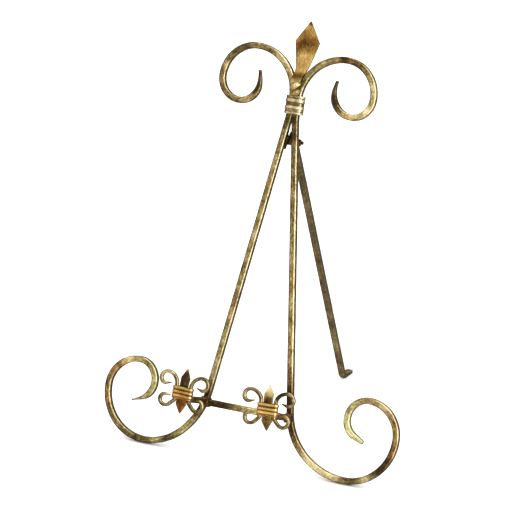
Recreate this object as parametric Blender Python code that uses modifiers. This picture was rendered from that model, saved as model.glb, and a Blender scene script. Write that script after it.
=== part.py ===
"""Table-top display easel of forged square bar.

Two mirrored legs, each one bar from its foot scroll to its top scroll, lean back together as one flat
frame. A crossbar joins them low down, a reeded collar binds them at the top under a leaf finial, and two
arms stand forward from the crossbar's ends, each with a small scrolled ornament that keeps a book or a
picture on the arms. A strut hinged behind the frame is the third foot.

Lengths are in metres and angles in degrees. X runs across the easel, Y from front to back and Z up, with
the origin on the floor at the middle of the easel's width and depth. Pieces of the leaning frame are drawn
in the frame's own axes: x across, y up along the legs and z forward, square to the frame.
"""

import math

import bmesh
import bpy
from mathutils import Matrix, Vector

MM = 0.001

# Stock and fits
BAR = 6.0 * MM
BAR_CHAMFER = 0.8 * MM
WIRE = 3.2 * MM
WIRE_CHAMFER = 0.4 * MM
PLATE = 2.8 * MM
GAP = 0.3 * MM
BAR_SEGMENT_TURN = 9.0
WIRE_SEGMENT_TURN = 15.0
CORNER_SEGMENT_TURN = 30.0
ROUND_STEPS = 16

# Stance
FRAME_LEAN = 19.7
STRUT_SLOPE = 22.2
ORIGIN_BEHIND_FRONT_FEET = 109.37 * MM

# Legs, in the frame's axes
SPLAY = 8.4
SCROLL_START = 363.3 * MM
COLLARED_RUN = 12.6 * MM
COLLARED_HALF_SPACING = BAR / 2 + GAP / 2
LEG_BEND_RADIUS = 40.0 * MM
FOOT_LEAD_RADIUS = 64.9 * MM
FOOT_ARCS = ((47.9, 90.0), (31.5, 90.0), (20.0, 90.0), (19.0, 67.7))
FOOT_TIP = 10.6 * MM
TOP_ARCS = ((45.6, 90.0), (33.5, 90.0), (22.3, 90.0), (19.1, 90.0), (44.6, 17.3))
LEG_TIP_WIDTHS = (0.55, 0.9)

# Crossbar and arms
CROSSBAR_HEIGHT = 53.0 * MM
ARM_HEIGHT = 54.0 * MM
ARM_RISE = 3.5

# Ornaments, each in its own plane parallel to the frame
ORNAMENT_FORWARD = 57.0 * MM
ORNAMENT_ACROSS = 46.0 * MM
ORNAMENT_HEIGHT = 63.3 * MM
SCROLL_SPACING = 15.0 * MM
SCROLL_STRAIGHT = 13.0 * MM
UPPER_ROOT = ((11.3, 90.0),)
UPPER_CURL = ((6.6, 90.0), (5.3, 106.0))
LOWER_ROOT = ((3.8, 45.0),)
LOWER_RUN = 5.6 * MM
LOWER_CURL = ((7.0, 45.0), (5.8, 90.0), (5.1, 95.0))
CURL_TIP = 4.8 * MM
CURL_TIP_WIDTHS = (0.5, 0.9)
SPEAR_OUTLINE = ((-20.5, 0.5), (-11.0, 5.7), (-6.2, 4.9), (6.2, 4.5), (15.0, 4.9), (24.0, 0.5))
BAND_HEIGHT = 12.4 * MM
BAND_WALL = 0.8 * MM
BAND_RIB = 0.4 * MM
BAND_RIBS = 3
BAND_CORNER = 1.1 * MM
BAND_CLEARANCE = 0.35 * MM

# Collar
COLLAR_MIDDLE = 356.8 * MM
COLLAR_HEIGHT = 18.0 * MM
COLLAR_WALL = 1.3 * MM
COLLAR_RIB = 0.5 * MM
COLLAR_RIBS = 4
COLLAR_CORNER = 1.2 * MM
COLLAR_CLEARANCE = 0.45 * MM

# Finial
FINIAL_SIDE_VIEW = ((366.5, 4.8), (380.3, 4.9), (384.8, 2.6), (389.0, -2.0), (396.0, -5.2), (408.0, -7.4),
                    (420.0, -8.6), (440.5, -10.0))
FINIAL_OUTLINE = ((366.0, 3.4), (384.5, 3.6), (389.0, 4.9), (420.0, 13.0), (440.5, 0.4))

# Hinge
PIVOT_HEIGHT = 321.0 * MM
PIVOT_BEHIND = 13.0 * MM
PIN_RADIUS = 1.3 * MM
PIN_HEAD_RADIUS = 2.6 * MM
PIN_HEAD_HEIGHT = 1.6 * MM
PIN_TAIL = 9.2 * MM
STRAP = 2.0 * MM
EAR_RADIUS = 3.7 * MM

# Strut
STRUT_HEEL = 11.5 * MM
STRUT_HEEL_TAPER = 1.2 * MM
STRUT_HEEL_WIDTH = 0.7
STRUT_BEND_RADIUS = 6.0 * MM
STRUT_FOOT = 14.5 * MM


def clear_scene():
    for item in list(bpy.data.objects):
        bpy.data.objects.remove(item, do_unlink=True)


def new_collection(name):
    collection = bpy.data.collections.new(name)
    bpy.context.scene.collection.children.link(collection)
    return collection


clear_scene()
EASEL = new_collection("display_easel")
GUIDES = new_collection("cutters_and_guides")


# ---------------------------------------------------------------- materials

# Each metal is a colour and a roughness.
BRASS = ((0.46, 0.34, 0.15), 0.38)
WARM_BRASS = ((0.62, 0.42, 0.18), 0.35)
AMBER = ((0.58, 0.36, 0.12), 0.38)
DARK_BRASS = ((0.24, 0.18, 0.08), 0.45)
BLACKENED = ((0.06, 0.045, 0.03), 0.5)
METALLIC = 0.9


def finish(item, metal):
    """Give an object its own metal."""
    colour, roughness = metal
    material = bpy.data.materials.new(item.name + "_metal")
    material.use_nodes = True
    shader = material.node_tree.nodes["Principled BSDF"]
    shader.inputs["Base Color"].default_value = (*colour, 1.0)
    shader.inputs["Roughness"].default_value = roughness
    shader.inputs["Metallic"].default_value = METALLIC
    item.data.materials.clear()
    item.data.materials.append(material)


# ---------------------------------------------------------------- outlines

def along(heading):
    """Unit vector in the drawing plane, heading in degrees from +x towards +y."""
    angle = math.radians(heading)
    return Vector((math.cos(angle), math.sin(angle)))


def straight(path, heading, length):
    path.append(path[-1] + length * along(heading))
    return heading


def arc(path, heading, radius, turn, segment_turn=BAR_SEGMENT_TURN):
    """Add an arc to the path: a positive turn bends to the left."""
    side = 1.0 if turn > 0 else -1.0
    centre = path[-1] + radius * along(heading + side * 90.0)
    steps = math.ceil(abs(turn) / segment_turn)
    for step in range(1, steps + 1):
        direction = heading + turn * step / steps - side * 90.0
        path.append(centre + radius * along(direction))
    return heading + turn


def arcs(path, heading, table, side, segment_turn=BAR_SEGMENT_TURN):
    """Add a run of arcs from (radius in mm, sweep in degrees), all bending to one side."""
    for radius, sweep in table:
        heading = arc(path, heading, radius * MM, side * sweep, segment_turn)
    return heading


def mirrored(path):
    return [Vector((-point.x, point.y)) for point in path]


def through(knots, count):
    """Catmull-Rom curve through knots, as count points evenly spread over the spans."""
    first = knots[0] * 2 - knots[1]
    last = knots[-1] * 2 - knots[-2]
    padded = [first, *knots, last]
    spans = len(knots) - 1
    points = []
    for index in range(count):
        place = index * spans / (count - 1)
        span = min(int(place), spans - 1)
        t = place - span
        a, b, c, d = padded[span:span + 4]
        points.append(0.5 * (2 * b + (c - a) * t + (2 * a - 5 * b + 4 * c - d) * t**2
                             + (3 * b - a - 3 * c + d) * t**3))
    return points


def square_outline(size, chamfer):
    """Corners of a square with its edges chamfered, clockwise as a swept section has to run."""
    half = size / 2
    inner = half - chamfer
    return [(inner, -half), (-inner, -half), (-half, -inner), (-half, inner),
            (-inner, half), (inner, half), (half, inner), (half, -inner)]


# ---------------------------------------------------------------- builders

def place(item, parent, location=(0.0, 0.0, 0.0), turns=(0.0, 0.0, 0.0)):
    item.parent = parent
    item.location = location
    item.rotation_euler = [math.radians(turn) for turn in turns]
    return item


def empty(name, location, turns, parent=None):
    item = bpy.data.objects.new(name, None)
    EASEL.objects.link(item)
    return place(item, parent, location, turns)


def poly_curve(name, outlines, closed, collection):
    """A flat curve object with one POLY spline for each outline."""
    data = bpy.data.curves.new(name, "CURVE")
    data.dimensions = "2D"
    for outline in outlines:
        spline = data.splines.new("POLY")
        spline.points.add(len(outline) - 1)
        for point, (x, y) in zip(spline.points, outline):
            point.co = (x, y, 0.0, 1.0)
        spline.use_cyclic_u = closed
    item = bpy.data.objects.new(name, data)
    collection.objects.link(item)
    return item


def guide(item):
    item.hide_render = True
    item.display_type = "WIRE"
    return item


def swept(name, path, section, parent, location=(0.0, 0.0, 0.0), turns=(0.0, 0.0, 0.0), closed=False,
          ends=None):
    """Sweep a section along a flat path. ends lists the widths at the first and last points of the path."""
    item = poly_curve(name, [path], closed, EASEL)
    item.data.fill_mode = "NONE"
    item.data.bevel_mode = "OBJECT"
    item.data.bevel_object = section
    item.data.use_fill_caps = not closed
    if ends:
        points = item.data.splines[0].points
        for index, width in enumerate(ends):
            points[index].radius = width
            points[-1 - index].radius = width
    return place(item, parent, location, turns)


def extruded(name, outlines, thickness, collection=EASEL):
    """A plate from its outlines, the second and later ones being holes."""
    item = poly_curve(name, outlines, True, collection)
    item.data.fill_mode = "BOTH"
    item.data.extrude = thickness / 2
    return item


def as_mesh(item):
    """Replace a curve object with the closed mesh that it draws."""
    bpy.context.view_layer.update()
    graph = bpy.context.evaluated_depsgraph_get()
    mesh = bpy.data.meshes.new_from_object(item.evaluated_get(graph))
    form = bmesh.new()
    form.from_mesh(mesh)
    bmesh.ops.remove_doubles(form, verts=form.verts, dist=0.01 * MM)
    form.to_mesh(mesh)
    form.free()
    name = item.name
    parent = item.parent
    matrix = item.matrix_world.copy()
    collection = item.users_collection[0]
    bpy.data.objects.remove(item, do_unlink=True)
    solid = bpy.data.objects.new(name, mesh)
    collection.objects.link(solid)
    solid.parent = parent
    solid.matrix_world = matrix
    return solid


def cylinder_cutter(name, radius, length, parent):
    """A cutter along the hinge axis."""
    form = bmesh.new()
    bmesh.ops.create_cone(form, cap_ends=True, segments=ROUND_STEPS, radius1=radius, radius2=radius,
                          depth=length)
    mesh = bpy.data.meshes.new(name)
    form.to_mesh(mesh)
    form.free()
    item = bpy.data.objects.new(name, mesh)
    GUIDES.objects.link(item)
    return guide(place(item, parent))


def box_cutter(name, size, centre, parent):
    form = bmesh.new()
    bmesh.ops.create_cube(form, size=1.0, matrix=Matrix.Diagonal((*size, 1.0)))
    mesh = bpy.data.meshes.new(name)
    form.to_mesh(mesh)
    form.free()
    item = bpy.data.objects.new(name, mesh)
    GUIDES.objects.link(item)
    return guide(place(item, parent, centre))


def cut(item, cutter):
    modifier = item.modifiers.new("cut_" + cutter.name, "BOOLEAN")
    modifier.operation = "DIFFERENCE"
    modifier.solver = "EXACT"
    modifier.object = cutter


def leaf(name, spine, half_widths, parent):
    """A plate of forged leaf: an open sheet across a curved spine, thickened on both sides.

    The spine's points are (height, forward), and half_widths has one value for each of them.
    """
    columns = (-1.0, -0.5, 0.0, 0.5, 1.0)
    form = bmesh.new()
    rows = []
    for point, half in zip(spine, half_widths):
        rows.append([form.verts.new((column * half, point.x, point.y)) for column in columns])
    for lower, upper in zip(rows, rows[1:]):
        for index in range(len(columns) - 1):
            form.faces.new((lower[index], lower[index + 1], upper[index + 1], upper[index]))
    mesh = bpy.data.meshes.new(name)
    form.to_mesh(mesh)
    form.free()
    item = bpy.data.objects.new(name, mesh)
    EASEL.objects.link(item)
    thickness = item.modifiers.new("thickness", "SOLIDIFY")
    thickness.thickness = PLATE
    thickness.offset = 0.0
    return place(item, parent)


def half_width_at(height, outline):
    """Half width of a leaf whose outline is straight between (height, half width) corners."""
    for (low, wide_low), (high, wide_high) in zip(outline, outline[1:]):
        if height <= high:
            share = (height - low) / (high - low)
            return wide_low + share * (wide_high - wide_low)
    return outline[-1][1]


# ---------------------------------------------------------------- frames and sections

# The lowest edge of the foot scrolls touches the floor.
FOOT_CENTRE = BAR / 2 + (BAR / 2 - BAR_CHAMFER) * math.tan(math.radians(FRAME_LEAN))

FRAME = empty("leaning_frame", (0.0, -ORIGIN_BEHIND_FRONT_FEET, 0.0), (90.0 - FRAME_LEAN, 0.0, 0.0))
BAR_SECTION = guide(poly_curve("bar_section", [square_outline(BAR, BAR_CHAMFER)], True, GUIDES))
WIRE_SECTION = guide(poly_curve("wire_section", [square_outline(WIRE, WIRE_CHAMFER)], True, GUIDES))


# ---------------------------------------------------------------- legs

def leg_path():
    """Centreline of the right leg, from the tip of its top scroll to the tip of its foot scroll."""
    upper = [Vector((COLLARED_HALF_SPACING, SCROLL_START))]
    arcs(upper, 90.0, TOP_ARCS, -1.0)
    bend_drop = LEG_BEND_RADIUS * math.sin(math.radians(SPLAY))
    lead_drop = FOOT_LEAD_RADIUS * (1.0 - math.sin(math.radians(SPLAY)))
    run = (SCROLL_START - COLLARED_RUN - bend_drop - lead_drop - FOOT_CENTRE) / math.cos(math.radians(SPLAY))
    lower = [upper[0]]
    heading = straight(lower, -90.0, COLLARED_RUN)
    heading = arc(lower, heading, LEG_BEND_RADIUS, SPLAY)
    heading = straight(lower, heading, run)
    heading = arc(lower, heading, FOOT_LEAD_RADIUS, 90.0 - SPLAY)
    heading = arcs(lower, heading, FOOT_ARCS, 1.0)
    straight(lower, heading, FOOT_TIP)
    return upper[:0:-1] + lower


def make_legs():
    path = leg_path()
    for side, points in (("right", path), ("left", mirrored(path))):
        leg = swept(side + "_leg", points, BAR_SECTION, FRAME, ends=LEG_TIP_WIDTHS)
        finish(leg, BRASS)
    return path


def across_at(path, height):
    """How far from the middle the straight part of the leg is at a height."""
    for start, end in zip(path, path[1:]):
        if end.y <= height <= start.y and start.x < FOOT_LEAD_RADIUS:
            share = (start.y - height) / (start.y - end.y)
            found = start.x + share * (end.x - start.x)
    return found


# ---------------------------------------------------------------- crossbar and arms

def make_crossbar(leg_across):
    splay = math.radians(SPLAY)
    half = leg_across - BAR / 2 / math.cos(splay) - BAR / 2 * math.tan(splay) - GAP
    bar = swept("crossbar", [Vector((-half, CROSSBAR_HEIGHT)), Vector((half, CROSSBAR_HEIGHT))],
                BAR_SECTION, FRAME)
    finish(bar, DARK_BRASS)


def band_depth():
    """Half the depth of an ornament's band, over its ribs."""
    return WIRE / 2 + BAND_CLEARANCE + BAND_WALL + BAND_RIB


def make_arms(leg_across):
    """Arms run forward from the legs to the backs of the ornament bands, rising a little."""
    slope = math.radians(ARM_RISE)
    end_tilt = BAR / 2 * math.sin(slope)
    start = BAR / 2 + GAP + end_tilt
    length = (ORNAMENT_FORWARD - band_depth() - GAP - end_tilt - start) / math.cos(slope)
    rise = start * math.tan(slope)
    for side, sign in (("right", 1.0), ("left", -1.0)):
        location = (sign * leg_across, ARM_HEIGHT + rise, start)
        arm = swept(side + "_arm", [Vector((0.0, 0.0)), Vector((length, 0.0))], BAR_SECTION, FRAME,
                    location, (0.0, -90.0 + ARM_RISE, 90.0))
        finish(arm, BLACKENED)


# ---------------------------------------------------------------- reeded bands

def reeded_section(name, height, wall, rib, ribs):
    """Section of a reeded strip: its flat inside is at +x and its ribs at -x, which a sweep turns outwards."""
    half = height / 2
    outline = [(wall / 2, half), (wall / 2, -half)]
    pitch = height / ribs
    for index in range(ribs):
        low = -half + index * pitch
        outline.append((-wall / 2, low))
        outline.append((-wall / 2 - rib, low + 0.3 * pitch))
        outline.append((-wall / 2 - rib, low + 0.7 * pitch))
    outline.append((-wall / 2, half))
    return guide(poly_curve(name, [outline], True, GUIDES))


def rounded_rectangle(half_x, half_y, radius):
    """Closed counterclockwise outline with rounded corners."""
    path = [Vector((half_x, -half_y + radius))]
    heading = 90.0
    for length in (2 * half_y, 2 * half_x, 2 * half_y, 2 * half_x):
        heading = straight(path, heading, length - 2 * radius)
        heading = arc(path, heading, radius, 90.0, CORNER_SEGMENT_TURN)
    return path[:-1]


def make_band(name, section, inner_x, inner_y, wall, corner, parent, height=0.0):
    """Wrap a reeded strip round the middle of its parent's y axis, at a height along it."""
    path = rounded_rectangle(inner_x + wall / 2, inner_y + wall / 2, corner)
    band = swept(name, path, section, parent, (0.0, height, 0.0), (-90.0, 0.0, 0.0), closed=True)
    finish(band, WARM_BRASS)


def make_collar():
    section = reeded_section("collar_section", COLLAR_HEIGHT, COLLAR_WALL, COLLAR_RIB, COLLAR_RIBS)
    inner_x = COLLARED_HALF_SPACING + BAR / 2 + COLLAR_CLEARANCE
    inner_y = BAR / 2 + GAP
    make_band("top_collar", section, inner_x, inner_y, COLLAR_WALL, COLLAR_CORNER, FRAME, COLLAR_MIDDLE)


# ---------------------------------------------------------------- ornaments

def curl(start, heading, side, root, run, table):
    """Bend out from the band, run straight for a while and curl back in."""
    path = [start]
    heading = arcs(path, heading, root, side, WIRE_SEGMENT_TURN)
    if run:
        straight(path, heading, run)
    heading = arcs(path, heading, table, side, WIRE_SEGMENT_TURN)
    straight(path, heading, CURL_TIP)
    return path


def ornament_scroll_path():
    """Centreline of the wire scroll on the ornament's right, from its upper tip to its lower tip."""
    half = SCROLL_SPACING / 2
    upper = curl(Vector((half, SCROLL_STRAIGHT / 2)), 90.0, -1.0, UPPER_ROOT, 0.0, UPPER_CURL)
    lower = curl(Vector((half, -SCROLL_STRAIGHT / 2)), -90.0, 1.0, LOWER_ROOT, LOWER_RUN, LOWER_CURL)
    return upper[::-1] + lower


def make_ornament(side, sign, section):
    """Two wire scrolls back to back with a double-ended spear between them, bound by a band."""
    centre = (sign * ORNAMENT_ACROSS, ORNAMENT_HEIGHT, ORNAMENT_FORWARD)
    plane = empty(side + "_ornament", centre, (0.0, 0.0, 0.0), FRAME)
    path = ornament_scroll_path()
    for place_name, points, facing in (("outer", path, sign), ("inner", path, -sign)):
        wire_path = points if facing > 0 else mirrored(points)
        scroll = swept("_".join((side, place_name, "scroll")), wire_path, WIRE_SECTION, plane,
                       ends=CURL_TIP_WIDTHS)
        finish(scroll, BRASS)
    spine = [Vector((height, 0.0)) * MM for height, half in SPEAR_OUTLINE]
    spear = leaf(side + "_spear", spine, [half * MM for height, half in SPEAR_OUTLINE], plane)
    finish(spear, AMBER)
    inner_x = SCROLL_SPACING / 2 + WIRE / 2 + GAP
    inner_y = WIRE / 2 + BAND_CLEARANCE
    make_band(side + "_band", section, inner_x, inner_y, BAND_WALL, BAND_CORNER, plane)


def make_ornaments():
    section = reeded_section("band_section", BAND_HEIGHT, BAND_WALL, BAND_RIB, BAND_RIBS)
    for side, sign in (("right", 1.0), ("left", -1.0)):
        make_ornament(side, sign, section)


# ---------------------------------------------------------------- finial

def make_finial():
    """A leaf whose root stands in front of the two legs and whose blade leans back between the scrolls."""
    knots = [Vector((height, forward)) * MM for height, forward in FINIAL_SIDE_VIEW]
    spine = through(knots, 2 * len(knots) - 1)
    outline = [(height * MM, half * MM) for height, half in FINIAL_OUTLINE]
    widths = [half_width_at(point.x, outline) for point in spine]
    finial = leaf("top_finial", spine, widths, FRAME)
    finish(finial, AMBER)


# ---------------------------------------------------------------- hinge and strut

def make_bracket():
    """A strap bent into a U: its web lies across the backs of the legs and its ears carry the pin.

    It is drawn from the side, x forward and y up from the pin's axis, and cut out between the ears.
    """
    front = PIVOT_BEHIND - BAR / 2 - GAP
    web_back = front - STRAP
    outline = [Vector((front, -EAR_RADIUS))]
    heading = straight(outline, 90.0, 2 * EAR_RADIUS)
    heading = straight(outline, 180.0, front)
    arc(outline, heading, EAR_RADIUS, 180.0)
    hole = [Vector((PIN_RADIUS + GAP, 0.0))]
    arc(hole, 90.0, PIN_RADIUS + GAP, 360.0)
    ear_inside = BAR / 2 + GAP
    plate = extruded("hinge_bracket", [outline, hole[:-1]], 2 * (ear_inside + STRAP))
    place(plate, FRAME, (0.0, PIVOT_HEIGHT, -PIVOT_BEHIND), (0.0, -90.0, 0.0))
    bracket = as_mesh(plate)
    reach = 2 * EAR_RADIUS
    slot = box_cutter("bracket_slot", (2 * ear_inside, 4 * EAR_RADIUS, web_back + reach),
                      (0.0, PIVOT_HEIGHT, -PIVOT_BEHIND + (web_back - reach) / 2), FRAME)
    cut(bracket, slot)
    finish(bracket, BLACKENED)


def make_pin(pivot):
    """A turned pin with a domed head on the left, its plain end standing out on the right."""
    head = -(BAR / 2 + GAP + STRAP + GAP)
    profile = [Vector((0.0, head - PIN_HEAD_HEIGHT))]
    for angle in (30.0, 60.0):
        profile.append(Vector((PIN_HEAD_RADIUS * math.sin(math.radians(angle)),
                               head - PIN_HEAD_HEIGHT * math.cos(math.radians(angle)))))
    profile += [Vector((PIN_HEAD_RADIUS, head)), Vector((PIN_RADIUS, head)),
                Vector((PIN_RADIUS, PIN_TAIL - PIN_RADIUS / 3)),
                Vector((2 * PIN_RADIUS / 3, PIN_TAIL)), Vector((0.0, PIN_TAIL))]
    mesh = bpy.data.meshes.new("hinge_pin")
    points = [(radius, 0.0, height) for radius, height in reversed(profile)]
    edges = [(index, index + 1) for index in range(len(points) - 1)]
    mesh.from_pydata(points, edges, [])
    pin = bpy.data.objects.new("hinge_pin", mesh)
    EASEL.objects.link(pin)
    place(pin, pivot)
    turned = pin.modifiers.new("turned", "SCREW")
    turned.axis = "Z"
    turned.steps = ROUND_STEPS
    turned.render_steps = ROUND_STEPS
    turned.use_merge_vertices = True
    turned.merge_threshold = 0.01 * MM
    finish(pin, BLACKENED)


def make_strut(pivot, pivot_height):
    """The hinged rear strut: a heel above the pin, a long straight run and a foot bent back along the floor.

    It is drawn from the side, x to the back and y up from the pin's axis.
    """
    heading = STRUT_SLOPE - 90.0
    bend_tangent = STRUT_BEND_RADIUS * math.tan(math.radians(-heading / 2))
    run = (pivot_height - BAR / 2) / math.cos(math.radians(STRUT_SLOPE)) - bend_tangent
    path = [-STRUT_HEEL * along(heading)]
    straight(path, heading, STRUT_HEEL_TAPER)
    straight(path, heading, STRUT_HEEL - STRUT_HEEL_TAPER + run)
    heading = arc(path, heading, STRUT_BEND_RADIUS, -heading)
    straight(path, heading, STRUT_FOOT)
    bar = swept("rear_leg", path, BAR_SECTION, pivot)
    bar.data.splines[0].points[0].radius = STRUT_HEEL_WIDTH
    strut = as_mesh(bar)
    cut(strut, cylinder_cutter("strut_pin_hole", PIN_RADIUS + GAP, 2 * BAR, pivot))
    finish(strut, BRASS)


def make_hinge():
    lean = math.radians(FRAME_LEAN)
    back = PIVOT_HEIGHT * math.sin(lean) + PIVOT_BEHIND * math.cos(lean) - ORIGIN_BEHIND_FRONT_FEET
    height = PIVOT_HEIGHT * math.cos(lean) - PIVOT_BEHIND * math.sin(lean)
    make_bracket()
    pivot = empty("rear_leg_pivot", (0.0, back, height), (90.0, 0.0, 90.0))
    make_pin(pivot)
    make_strut(pivot, height)


# ---------------------------------------------------------------- assembly

def build():
    path = make_legs()
    make_crossbar(across_at(path, CROSSBAR_HEIGHT))
    make_arms(across_at(path, ARM_HEIGHT))
    make_ornaments()
    make_collar()
    make_finial()
    make_hinge()
    bpy.context.view_layer.update()


build()
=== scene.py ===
import math

import bmesh
import bpy
import numpy as np
from mathutils import Matrix, Vector, noise


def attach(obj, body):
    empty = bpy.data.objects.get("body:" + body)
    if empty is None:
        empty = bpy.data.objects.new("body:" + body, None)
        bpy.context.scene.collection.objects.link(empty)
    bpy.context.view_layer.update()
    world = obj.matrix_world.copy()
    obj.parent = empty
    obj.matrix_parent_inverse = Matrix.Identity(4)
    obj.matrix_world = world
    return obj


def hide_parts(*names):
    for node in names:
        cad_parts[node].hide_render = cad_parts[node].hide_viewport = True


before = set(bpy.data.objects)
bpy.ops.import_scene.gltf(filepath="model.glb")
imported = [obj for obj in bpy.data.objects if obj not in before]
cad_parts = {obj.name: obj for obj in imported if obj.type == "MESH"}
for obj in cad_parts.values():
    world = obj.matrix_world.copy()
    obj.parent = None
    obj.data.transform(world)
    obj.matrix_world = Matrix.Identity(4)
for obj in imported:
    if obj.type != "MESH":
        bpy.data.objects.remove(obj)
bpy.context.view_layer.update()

MM = 0.001
SIDES = (("left", -1.0), ("right", 1.0))

# ---------------- sizes, in millimetres

BAR = 6.4
BAR_CORNER = 1.2
WIRE = 3.55
WIRE_CORNER = 0.85
WIRE_TIP = 0.36
WIRE_TIP_RUN = 8.0
FRAME_LEAN = 19.7
STRUT_SLOPE = 22.2
ORIGIN_BEHIND_FRONT_FEET = 109.37

# All but the strut is drawn in the leaning frame's axes: x across, y up along the legs and z forward. The
# legs were bent by hand, so each has its own arcs, as (radius, degrees), and its own lean at the top.
SCROLL_START = 363.3
COLLARED_RUN = 12.6
COLLARED_HALF_SPACING = 3.15
LEG_BEND_RADIUS = {"left": 40.0, "right": 90.0}
TOP_LEAN_RADIUS = 25.0
TOP_ARCS = {"left": ((45.6, 90.0), (33.5, 90.0), (22.3, 90.0), (19.1, 90.0), (44.6, 17.3)),
            "right": ((44.9, 90.0), (33.5, 90.0), (20.1, 90.0), (22.0, 90.0), (44.6, 13.2))}
SPLAY = 8.4
TOP_LEAN = {"left": 0.7, "right": 3.4}
FOOT_LEAD = {"left": (78.0, 59.6), "right": (62.0, 69.1)}
FOOT_LEAD_TURN = 40.0
FOOT_ARCS = {"left": ((47.3, 90.0), (31.3, 90.0), (19.8, 90.0), (19.8, 70.5)),
             "right": ((48.0, 90.0), (32.8, 90.0), (20.6, 90.0), (17.9, 65.3))}
FOOT_TIP = {"left": 9.8, "right": 10.2}
FOOT_TIP_TAPER = {"left": (24.0, 0.26), "right": (14.0, 0.62)}
TOP_TIP = 0.40
TOP_TIP_RUN = 27.0
FOOT_FLAT = 4.0
FOOT_CENTRE = BAR / 2 + FOOT_FLAT / 2 * math.tan(math.radians(FRAME_LEAN))
LOWEST_STRAIGHT = 30.0
POINTS_DOWN_LEG = 60

CROSSBAR_HEIGHT = 53.0
CROSSBAR_SEAT = 0.5
ARM_HEIGHT = 54.0
ARM_RISE = 3.5
ARM_SEAT = 0.3
ARM_REACH = 57.0

ORNAMENT_ACROSS = {"left": -45.9, "right": 46.2}
ORNAMENT_HEIGHT = {"left": 63.2, "right": 63.4}
ORNAMENT_TURN = {"left": -2.0, "right": 2.0}
SPEAR_TURN = {"left": -0.5, "right": 2.0}
SCROLL_SPACING = 15.4
SCROLL_STRAIGHT = 13.4
UPPER_ROOT = {"left": ((11.3, 90.0),), "right": ((10.2, 45.0), (12.6, 45.0))}
UPPER_CURL = ((6.6, 90.0), (5.2, 106.0))
LOWER_ROOT = ((3.6, 45.0),)
LOWER_RUN = 5.4
LOWER_CURL = ((7.0, 45.0), (5.8, 90.0), (5.1, 96.0))
CURL_TIP = 5.0
SPEAR_OUTLINE = ((-20.5, 0.4), (-11.0, 5.7), (-6.2, 4.9), (6.2, 4.5), (15.0, 4.9), (24.0, 0.4))
SPEAR_HALF_THICKNESS = 0.95
SPEAR_RIDGE = 1.1
SPEAR_SET_BACK = 1.6
SPEAR_TILT = 0.13
SPEAR_STEP = 0.5
BAND_HEIGHT = 12.4
BAND_DEPTH = 3.1
BAND_REEDS = ((4.7, 1.5, 1.0), (0.6, 1.3, 1.0), (-3.2, 1.5, 1.0), (-5.7, 0.7, 0.6))
BAND_REED_GOLD = {"left": 0.42, "right": 0.52}

COLLAR_MIDDLE = 356.8
COLLAR_ACROSS = 0.5
COLLAR_HEIGHT = 18.4
COLLAR_WALL = 1.45
COLLAR_REEDS = ((8.2, 1.3, 0.8), (4.3, 2.0, 1.0), (-2.7, 1.8, 1.0), (-8.1, 1.3, 1.0), (-5.6, 1.5, 0.5))

PIVOT_HEIGHT = 321.0
PIVOT_BEHIND = 13.0
STRAP = 2.0
STRAP_BEND = 1.5
STRAP_INSIDE = 3.3
EAR_RADIUS = 3.7
STRUT_HEEL = 11.5
STRUT_BEND_RADIUS = 6.0
STRUT_FOOT = 14.5
STRUT_FOOT_DROP = 1.3
STRUT_FOOT_STEPS = 8


# ---------------- planes and paths

def plane(across, up, forward, turn=0.0):
    """Matrix of a drawing plane parallel to the leaning frame, from its origin in the frame's axes."""
    return FRAME @ Matrix.Translation((across, up, forward)) @ Matrix.Rotation(math.radians(turn), 4, "Z")


FRAME = (Matrix.Translation((0.0, -ORIGIN_BEHIND_FRONT_FEET, 0.0))
         @ Matrix.Rotation(math.radians(90.0 - FRAME_LEAN), 4, "X"))


ARC_STEP = 2.0


def along(heading):
    """Unit vector at a heading in degrees, counterclockwise from the x axis."""
    angle = math.radians(heading)
    return np.array((math.cos(angle), math.sin(angle)))


def straight(path, heading, length):
    """Add a straight run."""
    path.append(path[-1] + length * along(heading))
    return heading


def arc(path, heading, radius, turn):
    """Add an arc: a positive turn bends to the left."""
    side = 1.0 if turn > 0 else -1.0
    centre = path[-1] + radius * along(heading + side * 90.0)
    steps = max(2, math.ceil(abs(turn) / ARC_STEP))
    for step in range(1, steps + 1):
        path.append(centre + radius * along(heading + turn * step / steps - side * 90.0))
    return heading + turn


def arcs(path, heading, table, side):
    """Add a run of (radius, degrees) arcs, to the left where side is 1 and to the right where it is -1."""
    for radius, degrees in table:
        heading = arc(path, heading, radius, side * degrees)
    return heading


def even(path, spacing):
    """The same path with its points evenly spaced."""
    path = np.array(path)
    lengths = np.concatenate(((0.0,), np.cumsum(np.linalg.norm(np.diff(path, axis=0), axis=1))))
    count = max(4, round(lengths[-1] / spacing) + 1)
    places = np.linspace(0.0, lengths[-1], count)
    return np.column_stack([np.interp(places, lengths, path[:, axis]) for axis in range(path.shape[1])])


def mirrored(path):
    """The same path on the other side of the middle."""
    return np.array(path) * (-1.0, 1.0)


def smooth(low, high, value):
    """0 below low, 1 above high and an even S between."""
    share = np.clip((value - low) / (high - low), 0.0, 1.0)
    return share * share * (3.0 - 2.0 * share)


# ---------------- meshes

def add_to_scene(name, data):
    """A new object in the scene."""
    item = bpy.data.objects.new(name, data)
    bpy.context.scene.collection.objects.link(item)
    return item


def ripple(points, size, seed):
    """Smooth noise from -1 to 1 at each point, with lumps about size millimetres across."""
    return np.array([noise.noise(Vector(point) / size + Vector((seed, 0.0, 0.0))) for point in points])


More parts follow.
